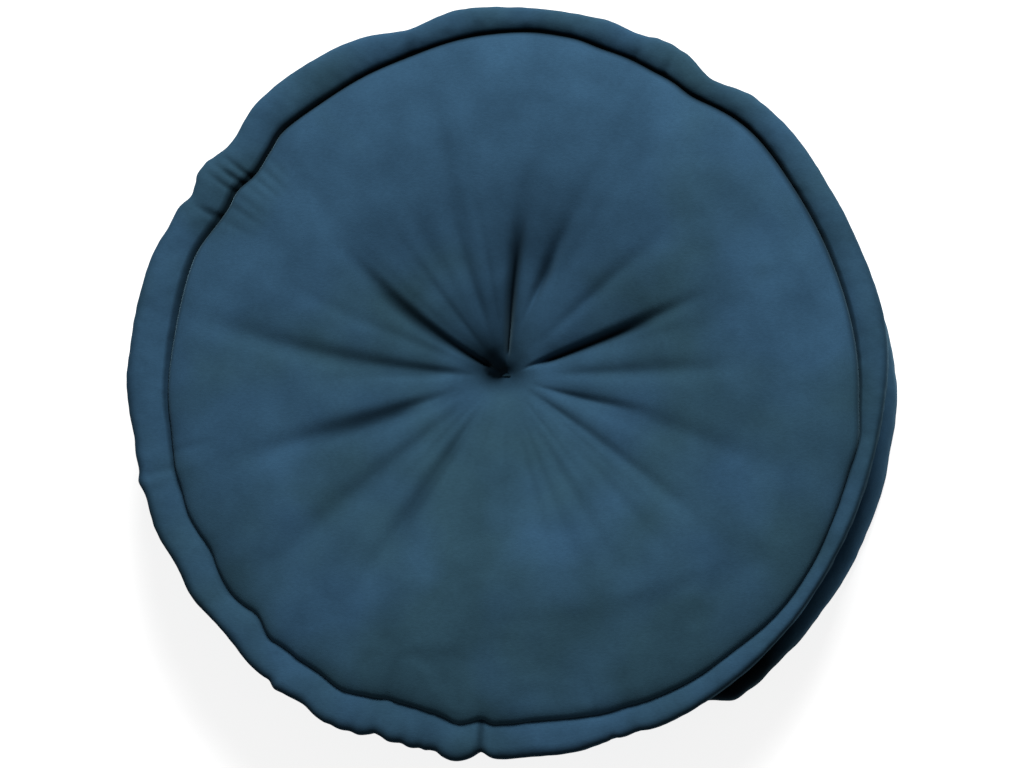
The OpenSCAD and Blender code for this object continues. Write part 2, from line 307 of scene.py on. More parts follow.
def grid_faces(rows, columns, close_rows, close_columns):
    """Quads of a grid of points, row by row."""
    r = np.arange(rows if close_rows else rows - 1)
    c = np.arange(columns if close_columns else columns - 1)
    r, c = (a.ravel() for a in np.meshgrid(r, c, indexing="ij"))
    r2, c2 = (r + 1) % rows, (c + 1) % columns
    return np.stack([r * columns + c, r * columns + c2, r2 * columns + c2, r2 * columns + c], 1)


def make_piece(name, points, faces, material, crease=None):
    """A smooth-shaded mesh object from points in millimetres and arrays of faces.
    Crease is the painted shade at each of the first points, from 0 to 1: shade painted into folds,
    seams, the tuft and other places that lie in shadow."""
    mesh = bpy.data.meshes.new(name)
    rows = [[int(i) for i in face] for group in faces for face in group]
    mesh.from_pydata((np.asarray(points).reshape(-1, 3) * MM).tolist(), [], rows)
    mesh.polygons.foreach_set("use_smooth", [True] * len(mesh.polygons))
    mesh.update()
    # The crease attribute carries the painted shade to the velvet's material.
    if crease is not None:
        values = np.zeros(len(mesh.vertices))
        values[:crease.size] = crease.ravel()
        mesh.attributes.new("crease", "FLOAT", "POINT").data.foreach_set("value", values)
    piece = bpy.data.objects.new(name, mesh)
    bpy.context.scene.collection.objects.link(piece)
    if material:
        mesh.materials.append(material)
        face_out(mesh)
    return piece


def face_out(mesh):
    """Turns every face of a closed mesh outwards."""
    work = bmesh.new()
    work.from_mesh(mesh)
    bmesh.ops.recalc_face_normals(work, faces=work.faces)
    work.to_mesh(mesh)
    work.free()


def settle(piece, node):
    """The piece rides on the one body and stands for its CAD node."""
    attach(piece, "root")
    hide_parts(node)
    return piece


# ---- outlines ----


def top_out(angle):
    return OUTER_R + bumps(angle, TOP_OUT)


def top_in(angle):
    return OUTER_R - ROLL_D + 1.5 + bumps(angle, TOP_IN)


def base_out(angle):
    return BASE_OUT_R + bumps(angle, BASE_OUT)


def base_in(angle):
    return base_out(angle) - ROLL_D + 1.2 * np.sin(np.radians(5 * angle))


def meet(angle):
    """Where a panel meets its roll, in degrees round the roll's section from its outer side."""
    return MEET + MEET_SWING * np.sin(np.radians(angle))


def northern(angle):
    """1 toward +Y, where the seam is deepest, falling smoothly to 0 toward -Y. It weights painted shade:
    along the seams, strongest toward +Y, and under the upper roll's rim, strongest toward -Y.
    """
    return smooth(np.sin(np.radians(angle)), -0.7, 0.9)


class Roll:
    """A rolled edge: where its middle runs, how wide and how high it is, in each direction.
    Side is 1 for the upper roll, and -1 for the lower one, which is built upside down. Dark lists bumps
    of painted shade laid along the roll."""

    def __init__(self, out, inner, middle_z, side, dark):
        self.out, self.inner, self.middle_z = out, inner, middle_z
        self.side, self.dark = side, dark

    def section(self, angle):
        """Middle radius, middle height, half width and half height."""
        out, inner = self.out(angle), self.inner(angle)
        half = (out - inner) / 2
        high = ROLL_R * (1 - ROLL_FLAT) + half * ROLL_FLAT
        return (out + inner) / 2, self.middle_z(angle, high), half, high

    def at(self, angle, around, grow=0.0):
        """Radius and height on the roll, around degrees from its outer side and grow mm off it."""
        middle, z, half, high = self.section(angle)
        across, upward = np.cos(np.radians(around)), np.sin(np.radians(around))
        across = np.sign(across) * np.abs(across) ** ROLL_SQUARE
        upward = np.sign(upward) * np.abs(upward) ** ROLL_SQUARE
        across = across + ROLL_SKEW * np.clip(upward, 0, 1) ** 2
        return middle + (half + grow) * across, z + self.side * (high + grow) * upward

    def flange(self, angle, layer, length):
        """Radius and height along the flange behind the roll, layer mm to the band's side of it."""
        r, z = self.at(angle, ROOT, 0)
        slope = np.radians(FLANGE_LEAN)
        r = r + length * np.cos(slope) - layer * np.sin(slope)
        return r, z + self.side * (length * np.sin(slope) + layer * np.cos(slope))


def top_middle(angle, high):
    waver = 0.5 * np.sin(np.radians(5 * angle + 40)) + 0.4 * np.sin(np.radians(11 * angle))
    return EDGE_H - ROLL_R + waver


def base_middle(angle, high):
    return high + 1.0


top_roll = Roll(top_out, top_in, top_middle, 1, [])
# The lower roll carries the same painted side shade as the band.
base_roll = Roll(base_out, base_in, base_middle, -1, PAINTED_SIDE_SHADE)


def place(angle, r, z):
    """Points from directions, radii and heights."""
    angle, r, z = np.broadcast_arrays(angle, r, z)
    return np.concatenate([unit(angle) * r[..., None], z[..., None]], -1)


def directions(turns):
    return np.arange(turns) * 360 / turns


# ---- the two round panels ----


def reach(angle, centre, edge):
    """Distance from a centre to an edge curve, in each direction."""
    distance = np.full(angle.shape, OUTER_R)
    for _ in range(12):
        at = centre + unit(angle) * distance[..., None]
        here = np.degrees(np.arctan2(at[..., 1], at[..., 0]))
        distance *= edge(here) / np.linalg.norm(at, axis=-1)
    return distance


def press_folds(angle, out, folds):
    """How far the folds press the cloth in, in mm, at a direction and distance from the tuft,
    and the painted shade in the bottom of a fold there, from 0 to 1."""
    depth = np.zeros(np.broadcast(angle, out).shape)
    bottom = np.zeros_like(depth)
    for at, start, end, deep, width, bend in folds:
        along = (out - (start + end) / 2) / (end - start)
        across = np.radians(turn(angle - at - bend * along)) * out
        wide = width * np.clip(out / FOLD_W_AT, FOLD_W_LEAST, FOLD_W_MOST) ** FOLD_W_POWER
        share = smooth(out, *(start * edge for edge in FOLD_START))
        share = share * (1 - smooth(out, *(end * edge for edge in FOLD_END)))
        crease = np.exp(-((across / wide) ** 2))
        pull = np.exp(-np.sqrt(across ** 2 + 0.3 * wide ** 2) / (FOLD_PULL_W * wide))
        depth += deep * share * (FOLD_CREASE * crease + FOLD_PULL * pull)
        # Painted shade in the bottoms of the deeper folds, where they lie in shadow.
        bottom += smooth(deep * share, *FOLD_DARK) * crease
    return depth, np.clip(bottom, 0, 1)


def hollow(s):
    """1 at the tuft and 0 from s = 1 outwards, level at both ends."""
    s = np.clip(s, 0, 1)
    return (1 - s) ** 4 * (1 + 4 * s)


def shoulder_share(out, edge, width):
    """1 in the middle of a panel, curving down to 0 at its edge."""
    from_edge = np.clip(1 - (edge - out) / width, 0, 1)
    return np.sqrt(np.clip(1 - from_edge ** SHOULDER_POWER, 0, 1))


def top_height(angle, out, edge, end_z):
    """Height of the top, without its folds: a wide bowl, a narrower pit, and a shoulder."""
    share = np.clip(1 - out / (CROWN_R - CROWN_SHIFT * np.sin(np.radians(angle))), 0, 1)
    steep = 1 - PIT_STEEP * np.cos(np.radians(angle - PIT_STEEP_AT))
    dip = (1 - PIT_SHARE) * share ** BOWL_POWER + PIT_SHARE * hollow(out / (PIT_R * steep))
    shoulder = shoulder_share(out, edge, SHOULDER_W)
    return CROWN_Z - (CROWN_Z - TUFT_Z) * dip - (CROWN_Z - end_z) * (1 - shoulder)


def base_height(angle, out, edge, end_z):
    """Height of the underside, without its folds."""
    shoulder = shoulder_share(out, edge, BASE_SHOULDER_W)
    dip = (BASE_TUFT_Z - BASE_REST_Z) * hollow(out / BASE_HOLLOW_R)
    return BASE_REST_Z + dip + (end_z - BASE_REST_Z) * (1 - shoulder)


def ring_shares(rings):
    """Where the rings lie between a panel's centre and its edge, closer together at the edge."""
    even = np.linspace(0.006, 1, rings)[:, None] ** 0.92
    return 1 - (1 - even) * (1 - 0.25 * even ** 6)


def panel_points(turns, rings, centre, roll, height, folds, press):
    """Outer face of a panel, ring by ring from its centre to where it meets the roll.
    Press is 1 for the top, whose folds go down, and -1 for the underside, whose folds go up."""
    angle = directions(turns)
    edge = reach(angle, centre, lambda a: roll.at(a, meet(a), PANEL_CLEAR)[0])
    share = ring_shares(rings)
    out = share * edge
    angle = np.broadcast_to(angle, out.shape)
    flat = centre + unit(angle) * out[..., None]
    end = directions_of(flat[-1])
    end_z = roll.at(end, meet(end), PANEL_CLEAR)[1]
    z = height(angle, out, edge, end_z) - press * press_folds(angle, out, folds)[0]
    points = np.concatenate([flat, z[..., None]], -1)
    uneven = UNEVEN * rumple(points, UNEVEN_SIZE, 1) * smooth(out, 10, 60) * (1 - smooth(share, 0.8, 1))
    if press > 0:
        wrinkled = smooth(share, SEAM_WRINKLE_FROM, SEAM_WRINKLE_FULL)
        points[..., 2] += uneven
        points[..., 2] += bumps(angle, SEAM_WRINKLES) * wrinkled
    else:
        points[..., 2] += np.abs(uneven)
    points[-1, :, 2] = end_z
    return points


def directions_of(points):
    return np.degrees(np.arctan2(points[..., 1], points[..., 0]))


def tuck(points, roll):
    """Adds the rings that go round the inner side of the roll and along its flange."""
    angle = directions_of(points[-1])
    rings = [place(angle, *roll.at(angle, around, PANEL_CLEAR)) for around in TUCK_RINGS]
    for length in (2.5, FLANGE_L):
        rings.append(place(angle, *roll.flange(angle, -CLOTH_T - GAP, length)))
    return np.concatenate([points, np.stack(rings)])


def sheet_normals(points):
    """Unit normals of a grid of points closed along its second axis."""
    sideways = np.roll(points, -1, 1) - np.roll(points, 1, 1)
    outward = np.gradient(points, axis=0)
    normal = np.cross(outward, sideways)
    return normal / np.linalg.norm(normal, axis=-1, keepdims=True)


def slab_piece(name, upper, lower, material, capped, crease=None):
    """A closed piece from two grids, joined at their rims. The lower grid may be coarser: the
    upper one has a whole number of columns for each of its own.
    A capped piece is closed at its first rows too, over the middle of a disc."""
    rows, columns = upper.shape[:2]
    low_rows, low_columns = lower.shape[:2]
    step, size = columns // low_columns, rows * columns
    here, following = np.arange(columns), (np.arange(columns) + 1) % columns
    low_here, low_following = (size + i for i in (np.arange(low_columns),
                                                 (np.arange(low_columns) + 1) % low_columns))

    def rim(row, low_row):
        start, low_start = row * columns, low_row * low_columns
        return [[start + (i * step + k) % columns for k in range(step, -1, -1)]
                + [low_here[i] + low_start, low_following[i] + low_start] for i in range(low_columns)]

    faces = [grid_faces(rows, columns, False, True),
             grid_faces(low_rows, low_columns, False, True)[:, ::-1] + size, rim(rows - 1, low_rows - 1)]
    points = [upper.reshape(-1, 3), lower.reshape(-1, 3)]
    if capped:
        middle = size + low_rows * low_columns
        points.append(np.stack([upper[0].mean(0), lower[0].mean(0)]))
        faces.append(np.stack([following, here, here * 0 + middle], 1))
        faces.append(np.stack([low_here, low_following, low_here * 0 + middle + 1], 1))
    else:
        faces.append([face[::-1] for face in rim(0, 0)])
    return make_piece(name, np.concatenate(points), faces, material, crease)


def deepest(points, up, span):
    """A panel's grid with each height the deepest of span columns to either side, so that a
    coarser grid taken from it stays beneath the panel's narrow folds."""
    result = points.copy()
    for shift in range(-span, span + 1):
        result[..., 2] = up * np.minimum(up * result[..., 2], up * np.roll(points[..., 2], shift, 1))
    return result


def cloth_piece(name, outer, up, material, capped, step=1, crease=None):
    """A closed sheet of cloth whose outer face is given, with up 1, or -1 for a face turned down.
    Its hidden inner face has one point for each step by step of the outer one's."""
    inner = deepest(outer - up * CLOTH_T * sheet_normals(outer), up, step)[:, ::step]
    keep = sorted({*range(0, len(outer), step), *range(len(outer) - 6, len(outer))})
    return slab_piece(name, outer, inner[keep], material, capped, crease)


# ---- cloth simulation ----

def swell(points, held, pressure, frames, most):
    """Lets a capped grid of cloth swell and returns how far each point moved, in millimetres."""
    rows, columns = points.shape[:2]
    face = grid_faces(rows, columns, False, True)
    here, following = np.arange(columns), (np.arange(columns) + 1) % columns
    cap = np.stack([following, here, here * 0 + rows * columns], 1)
    every = np.concatenate([points.reshape(-1, 3), points[:1].mean(1)])
    cloth = make_piece("swelling_cloth", every, [face, cap], None)
    group = cloth.vertex_groups.new(name="held")
    for index, weight in enumerate(np.append(held.ravel(), 1.0)):
        group.add([index], float(weight), "REPLACE")
    modifier = cloth.modifiers.new("cloth", "CLOTH")
    settings = modifier.settings
    settings.quality = 6
    settings.mass = 0.3
    settings.tension_stiffness = settings.compression_stiffness = 12
    settings.shear_stiffness = 4
    settings.bending_stiffness = 0.4
    settings.vertex_group_mass = "held"
    settings.use_pressure = True
    settings.uniform_pressure_force = pressure
    settings.effector_weights.gravity = 0
    modifier.collision_settings.use_collision = False
    modifier.collision_settings.use_self_collision = False
    modifier.point_cache.frame_end = frames
    for step in range(1, frames + 1):
        bpy.context.scene.frame_set(step)
    mesh = cloth.evaluated_get(bpy.context.evaluated_depsgraph_get()).data
    moved = np.zeros(len(mesh.vertices) * 3)
    mesh.vertices.foreach_get("co", moved)
    bpy.context.scene.frame_set(1)
    bpy.data.objects.remove(cloth)
    moved = (moved.reshape(-1, 3) / MM - every)[:-1].reshape(points.shape)
    length = np.linalg.norm(moved, axis=-1, keepdims=True)
    return moved * most * np.tanh(length / most) / np.maximum(length, 1e-6)


def finer(field, turns, rings):
    """A field on the simulation's grid, read off on a finer grid of the same panel."""
    share_in, share_out = ring_shares(field.shape[0]).ravel(), ring_shares(rings).ravel()
    closed = np.concatenate([field, field[:, :1]], 1)
    angle_in = np.linspace(0, 360, closed.shape[1])
    result = np.empty((rings, turns, 3))
    for axis in range(3):
        rows = np.stack([np.interp(directions(turns), angle_in, row) for row in closed[..., axis]])
        result[..., axis] = np.stack(
            [np.interp(share_out, share_in, column) for column in rows.T], 1)
    return result


# ---- the rolled edges ----


def roll_surface(roll, turns, sides, puckers, seed):
    """Points round a rolled edge, by direction and then round its section, and the painted shade of
    each: in its puckers, along its seam, under the upper roll's rim and in its dark bumps.
    """
    angle = directions(turns)[:, None]
    around = (ROOT + 6 - 360 + np.arange(sides) * (348 / (sides - 1)))[None, :]
    cosine, sine = np.cos(np.radians(around)), np.sin(np.radians(around))
    part = {"in": 1 - smooth(cosine, *PUCKER_IN), "out": smooth(cosine, *PUCKER_OUT), "all": 1}
    press = np.zeros(np.broadcast(angle, around).shape)
    for at, deep, width, where in puckers:
        press += deep * part[where] * np.exp(-((turn(angle - at) / width) ** 2))
    points = place(angle, *roll.at(angle, around, -press))
    bend = sum(deep * rumple(points, size, seed + i) for i, (deep, size) in enumerate(ROLL_SLACK))
    bend *= 1 - smooth(np.abs(around - ROOT + 180), 120, 175)
    points[..., :2] += (bend * cosine)[..., None] * unit(angle)
    points[..., 2] += roll.side * bend * sine
    # Painted shade: along the seam, strongest toward +Y where the seam lies in the roll's shadow; under
    # the upper roll's outer rim toward -Y; and in the puckers.
    north = northern(angle)
    dark = SEAM_DARK + SEAM_DARK_NORTH * north
    seam = smooth(around, meet(angle) - dark - 4, meet(angle) - 0.5 * dark) * (around < ROOT)
    seam *= SEAM_FAINT + (1 - SEAM_FAINT) * north
    rim = smooth(-around, -RIM_NONE, -RIM_FULL) * smooth(around, RIM_END_NONE, RIM_END_FULL)
    rim = rim * RIM_DARK * (1 - north) * (roll.side > 0)
    shade = seam + rim + bumps(angle, roll.dark)
    return points, np.maximum(smooth(press, 0.2, 2.2), np.clip(shade, 0, 1))


def roll_piece(name, roll, material, turns, sides, puckers, seed):
    """A rolled edge: outer skin with its flange, and an inner skin one cloth further in."""
    skin, painted_shade = roll_surface(roll, turns, sides, puckers, seed)
    flange = [place(directions(turns), *roll.flange(directions(turns), layer * CLOTH_T, length))
              for layer, length in ((-1, 1.5), (-1, FLANGE_L), (0, FLANGE_L + 0.2),
                                    (1, FLANGE_L), (1, 1.5))]
    loop = np.concatenate([skin, np.stack(flange, 1)], 1)
    crease = np.pad(painted_shade, ((0, 0), (0, len(flange))))
    lining_turns, lining_sides = turns // 4, sides // 2
    around = directions(lining_sides)[None, :]
    lining = place(directions(lining_turns)[:, None],
                   *roll.at(directions(lining_turns)[:, None], around, -CLOTH_T - 0.3))
    outer = grid_faces(*loop.shape[:2], True, True)
    inner = grid_faces(lining_turns, lining_sides, True, True)[:, ::-1] + loop.shape[0] * loop.shape[1]
    points = np.concatenate([loop.reshape(-1, 3), lining.reshape(-1, 3)])
    return make_piece(name, points, [outer, inner], material, crease)


def rope_piece(name, roll, material, turns, sides):
    """The twisted rope inside a rolled edge."""
    angle, around = directions(turns)[:, None], directions(sides)[None, :]
    strands = 0.25 * np.cos(np.radians(3 * around + 90 * angle))
    points = place(angle, *roll.at(angle, around, -CLOTH_T - 0.9 + strands))
    return make_piece(name, points, [grid_faces(turns, sides, True, True)], material)


# ---- the band ----


def band_points():
    """Outer face of the band, from the upper flange down to the lower one."""
    angle = directions(BAND_TURNS)
    tucked = CLOTH_T + GAP + CLOTH_T
    rows = [top_roll.flange(angle, tucked, FLANGE_L), top_roll.flange(angle, tucked, SEAM_L),
            top_roll.at(angle, BAND_TUCK, PANEL_CLEAR)]
    start, end = (roll.at(angle, BAND_LEAVES, PANEL_CLEAR) for roll in (top_roll, base_roll))
    for share in np.linspace(0, 1, BAND_ROWS):
        r = start[0] + (end[0] - start[0]) * share + BAND_BULGE * (1 - (2 * share - 1) ** 2)
        rows.append((r, start[1] + (end[1] - start[1]) * share))
    rows += [base_roll.at(angle, BAND_TUCK, PANEL_CLEAR), base_roll.flange(angle, tucked, SEAM_L),
             base_roll.flange(angle, tucked, FLANGE_L)]
    points = np.stack([place(angle, r, z) for r, z in rows])
    share = np.linspace(-0.12, 1.12, len(rows))[:, None]
    between = smooth(share, 0, 0.12) * (1 - smooth(share, 0.88, 1))
    near_seam = np.exp(-(share / 0.22) ** 2) + np.exp(-((share - 1) / 0.22) ** 2)
    slack = BAND_SLACK * rumple(points * (1, 1, 0.35), BAND_SLACK_SIZE, 21)
    gathers = BAND_GATHER * near_seam * rumple(points * (1, 1, 0.1), BAND_GATHER_SIZE, 22)
    join = bumps(angle, [(BAND_JOIN, BAND_JOIN_W, BAND_JOIN_DEPTH)])
    puff = between * (slack + gathers - join)
    points[..., :2] += puff[..., None] * unit(angle)
    return points


# ---- thread, cord and filling ----


def tube_points(path, radius, sides, closed):
    """Rings of points along a path, which is closed or has two ends."""
    path = np.asarray(path, float)
    along = np.roll(path, -1, 0) - np.roll(path, 1, 0) if closed else np.gradient(path, axis=0)
    along /= np.linalg.norm(along, axis=1, keepdims=True)
    side = np.cross(along, (0.3, 0.2, 0.93))
    side /= np.linalg.norm(side, axis=1, keepdims=True)
    upright = np.cross(side, along)
    around = np.radians(directions(sides))[None, :, None]
    return path[:, None] + radius * (np.cos(around) * side[:, None] + np.sin(around) * upright[:, None])


def thread_piece(name, roll, material):
    """Rows of stitches on the two faces of a seam, each stitch a short length of thread."""
    count = int(2 * math.pi * roll.section(np.array([0.0]))[0][0] / STITCH_PITCH)
    points, faces = [], []
    rings = np.array([0.0, 0.12, 0.5, 0.88, 1.0])
    taper = np.array([0.35, 1.0, 1.0, 1.0, 0.35])
    for face in (-1, 1):
        for i in range(count):
            angle = (i + STITCH_SHARE * rings) * 360 / count
            layer = face * (2 * CLOTH_T + GAP + THREAD_R)
            path = place(angle, *roll.flange(angle, layer, SEAM_L))
            tube = tube_points(path, THREAD_R, THREAD_SIDES, False)
            tube = path[:, None] + (tube - path[:, None]) * taper[:, None, None]
            at = len(points) * len(rings) * THREAD_SIDES
            points.append(tube.reshape(-1, 3))
            faces.append(grid_faces(len(rings), THREAD_SIDES, False, True) + at)
            ends = np.arange(THREAD_SIDES)
            faces.append(np.array([ends[::-1] + at]))
            faces.append(np.array([ends + at + (len(rings) - 1) * THREAD_SIDES]))
    return make_piece(name, np.concatenate(points), faces, material)


def cord_loop():
    """The tufting cord's path: up one strand, across the top, down the other and back."""
    half, bend = CORD_HALF, CORD_BEND
    low, high = BASE_TUFT_Z - GAP - CORD_D / 2, TUFT_Z + GAP + CORD_D / 2
    path = []
    for strand, start, end in ((1, low, high), (-1, high, low)):
        onward = 1 if end > start else -1
        for share in np.linspace(0, 1, 24):
            z = start + onward * bend + (end - start - 2 * onward * bend) * share
            path.append((strand * half, z))
        for half_side, angle in ((1, 30), (1, 60), (1, 90), (-1, 60), (-1, 30)):
            c, s = math.cos(math.radians(angle)), math.sin(math.radians(angle))
            path.append((half_side * strand * (half - bend + bend * c), end - onward * bend * (1 - s)))
    path = np.array(path)
    shift = (path[:, 1] - low) / (high - low)
    return np.stack([path[:, 0] + TUFT[0] * shift, TUFT[1] * shift, path[:, 1]], 1)


def beneath(face, up, gap, limit):
    """A panel's points moved gap mm into the cushion, and no nearer to its face than limit."""
    moved = face.copy()
    moved[..., 2] = up * np.minimum(up * face[..., 2] - gap, up * limit)
    return moved


def wadding_faces(face, up, limit):
    """Outer and inner face of the wadding between a panel and the foam, which lies at limit."""
    outer = beneath(face, up, WADDING_CLEAR, up * np.inf)
    squeeze = 1 - 0.012 * smooth(np.linspace(0, 1, len(outer)), 0.7, 1)
    outer[..., :2] *= squeeze[:, None, None]
    return outer, beneath(outer, up, WADDING_LEAST, limit + up * GAP)


def foam_face(face, centre, up, limit):
    """One face of the foam, under a panel, from the tuft out and round its edge to half height."""
    inside = beneath(face, up, WADDING_CLEAR + WADDING_LEAST + 2 * GAP, limit)
    angle = directions(face.shape[1])
    flat_r = FOAM_R - FOAM_ROUND - GAP
    edge = reach(angle, centre, lambda a: flat_r)
    out = np.linspace(0.01, 1, FOAM_RINGS)[:, None] * edge
    inside_out = np.linalg.norm(inside[..., :2] - centre, axis=-1)
    z = np.stack([np.interp(out[:, i], inside_out[:, i], inside[:, i, 2])
                  for i in range(len(angle))], 1)
    flat = np.concatenate([centre + unit(angle) * out[..., None], z[..., None]], -1)
    corner = np.radians(np.linspace(15, 90, 6))[:, None]
    rim = place(directions_of(flat[-1]), flat_r + FOAM_ROUND * np.sin(corner),
                limit - up * FOAM_ROUND * (1 - np.cos(corner)))
    return np.concatenate([flat, rim])


def side_wadding_points(turns):
    """Outer and inner face of the strip of wadding between the foam and the band."""
    angle = directions(turns)
    z = np.linspace(FOAM_LOW + 12, FOAM_HIGH - 12, 9)[:, None]
    start, end = (roll.at(angle, BAND_LEAVES)[0] for roll in (top_roll, base_roll))
    share = (FOAM_HIGH - z) / (FOAM_HIGH - FOAM_LOW)
    r = start + (end - start) * share + BAND_BULGE * (1 - (2 * share - 1) ** 2)
    r -= CLOTH_T + WADDING_BEHIND
    return place(angle, r, z), place(angle, np.full_like(r, FOAM_R + 0.4), z)


# ---- materials ----


def new_material(name):
    material = bpy.data.materials.new(name)
    material.use_nodes = True
    tree = material.node_tree
    tree.nodes.clear()
    output = tree.nodes.new("ShaderNodeOutputMaterial")
    shader = tree.nodes.new("ShaderNodeBsdfPrincipled")
    tree.links.new(shader.outputs[0], output.inputs["Surface"])
    return material, tree, shader


def noise_node(tree, coordinates, scale, detail):
    node = tree.nodes.new("ShaderNodeTexNoise")
    node.inputs["Scale"].default_value = scale
    node.inputs["Detail"].default_value = detail
    tree.links.new(coordinates, node.inputs["Vector"])
    return node.outputs["Fac"]


def ramp_node(tree, value, stops):
    node = tree.nodes.new("ShaderNodeValToRGB")
    while len(node.color_ramp.elements) < len(stops):
        node.color_ramp.elements.new(0.5)
    for element, (at, colour) in zip(node.color_ramp.elements, stops):
        element.position = at
        element.color = (*colour, 1)
    tree.links.new(value, node.inputs["Fac"])
    return node.outputs["Color"]


def multiply_colours(tree, a, b):
    node = tree.nodes.new("ShaderNodeMix")
    node.data_type = "RGBA"
    node.blend_type = "MULTIPLY"
    factor, colour_a, colour_b = (node.inputs[i] for i in (0, 6, 7))
    factor.default_value = 1.0
    tree.links.new(a, colour_a)
    tree.links.new(b, colour_b)
    return node.outputs[2]


def bump_node(tree, height, strength, distance, normal=None):
    node = tree.nodes.new("ShaderNodeBump")
    node.inputs["Strength"].default_value = strength
    node.inputs["Distance"].default_value = distance
    tree.links.new(height, node.inputs["Height"])
    if normal is not None:
        tree.links.new(normal, node.inputs["Normal"])
    return node.outputs["Normal"]


def velvet_material(name, shade=1.0, light_lean=0.0):
    """Velvet in cloudy patches of two colours, with brushed nap and fine pile, darkened by painted shade
    from the mesh's crease attribute.
    Shade darkens the whole copy, as painted shade. The last argument is how much bluer and lighter it is
    painted for each metre toward +Y: painted light, lighter on the side the light comes from."""
    material, tree, shader = new_material(name)
    where = tree.nodes.new("ShaderNodeTexCoord").outputs["Object"]
    patches = noise_node(tree, where, PATCH_SCALE, 2)
    # Painted light: the patches shift toward the lighter blue colour toward +Y, the side the light comes
    # from.
    position = tree.nodes.new("ShaderNodeSeparateXYZ")
    tree.links.new(where, position.inputs[0])
    patches_and_light = tree.nodes.new("ShaderNodeMath")
    patches_and_light.operation = "MULTIPLY_ADD"
    tree.links.new(position.outputs["Y"], patches_and_light.inputs[0])
    patches_and_light.inputs[1].default_value = light_lean
    tree.links.new(patches, patches_and_light.inputs[2])
    tint = ramp_node(tree, patches_and_light.outputs[0], [
        (PATCH_LOW, tuple(c * shade for c in VELVET_GREEN)),
        (PATCH_HIGH, tuple(c * shade for c in VELVET_BLUE))])
    brushed = noise_node(tree, where, NAP_SCALE, 3)
    nap = ramp_node(tree, brushed, [(0.3, (0.86,) * 3), (0.7, (1.12,) * 3)])
    colour = multiply_colours(tree, tint, nap)
    stretch = tree.nodes.new("ShaderNodeMapping")
    stretch.inputs["Scale"].default_value = (0.35, 1.0, 1.0)
    tree.links.new(where, stretch.inputs["Vector"])
    grain = noise_node(tree, stretch.outputs["Vector"], GRAIN_SCALE, 2)
    streaks = ramp_node(tree, grain, [(0.3, (0.93,) * 3), (0.7, (1.07,) * 3)])
    colour = multiply_colours(tree, colour, streaks)
    # Painted shade: the crease attribute darkens the velvet where folds, seams and recesses lie in
    # shadow.
    crease = tree.nodes.new("ShaderNodeAttribute")
    crease.attribute_name = "crease"
    painted_shade = ramp_node(tree, crease.outputs["Fac"], [(at, (light,) * 3) for at, light in PAINTED_SHADE_RAMP])
    colour = multiply_colours(tree, colour, painted_shade)
    tree.links.new(colour, shader.inputs["Base Color"])
    shader.inputs["Roughness"].default_value = 0.85
    shader.inputs["Specular IOR Level"].default_value = 0.0
    shader.inputs["Sheen Weight"].default_value = 0.11
    shader.inputs["Sheen Roughness"].default_value = 0.45
    shader.inputs["Sheen Tint"].default_value = (0.30, 0.55, 0.72, 1)
    pile = noise_node(tree, where, PILE_SCALE, 2)
    rub = noise_node(tree, where, RUB_SCALE, 3)
    normal = bump_node(tree, pile, 0.25, 0.0003)
    normal = bump_node(tree, rub, 0.25, 0.0006, normal)
    tree.links.new(normal, shader.inputs["Normal"])
    return material


def plain_cloth(name, dark, light, scale):
    """A dull material of fibres or cells between two colours."""
    material, tree, shader = new_material(name)
    where = tree.nodes.new("ShaderNodeTexCoord").outputs["Object"]
    fibres = noise_node(tree, where, scale, 4)
    tree.links.new(ramp_node(tree, fibres, [(0.3, dark), (0.7, light)]), shader.inputs["Base Color"])
    shader.inputs["Roughness"].default_value = 0.9
    shader.inputs["Specular IOR Level"].default_value = 0.0
    tree.links.new(bump_node(tree, fibres, 0.6, 0.001), shader.inputs["Normal"])
    return material


# Three copies of one velvet: the top's is painted lighter and bluer toward +Y, the side the light comes
# from, and the band's and lower roll's is painted a little darker, as shade.
velvet = velvet_material("velvet", 1.0, 1.1)
velvet_roll = velvet_material("velvet_roll")
velvet_shade = velvet_material("velvet_shade", 0.95)
wadding_white = plain_cloth("wadding", (0.62, 0.61, 0.58), (0.85, 0.84, 0.80), 220)
cotton = plain_cloth("cotton", (0.55, 0.51, 0.42), (0.80, 0.77, 0.68), 400)
foam_yellow = plain_cloth("foam", (0.62, 0.52, 0.22), (0.85, 0.76, 0.42), 900)
dark_thread = plain_cloth("thread", (0.010, 0.025, 0.038), (0.025, 0.055, 0.078), 1800)
cord_thread = plain_cloth("cord_thread", (0.004, 0.010, 0.015), (0.009, 0.021, 0.031), 1800)

for node in ("tuft_knot", "band_join_stitches"):
    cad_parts[node].data.materials.clear()
    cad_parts[node].data.materials.append(dark_thread)

# ---- the pieces ----


def top_panel_points(turns, rings):
    return panel_points(turns, rings, TUFT, top_roll, top_height, FOLDS, 1)


def base_panel_points(turns, rings):
    return panel_points(turns, rings, AXIS, base_roll, base_height, BASE_FOLDS, -1)


def fading(out, full, none):
    """1 up to one distance from the tuft and 0 from another, smooth between."""
    return 1 - smooth(out, full, none)


def zone(angle, out, at, width, share, full, none):
    """A patch of painted shade in one direction from the tuft, fading on the way out."""
    return share * np.exp(-(turn(angle - at) / width) ** 2) * fading(out, full, none)


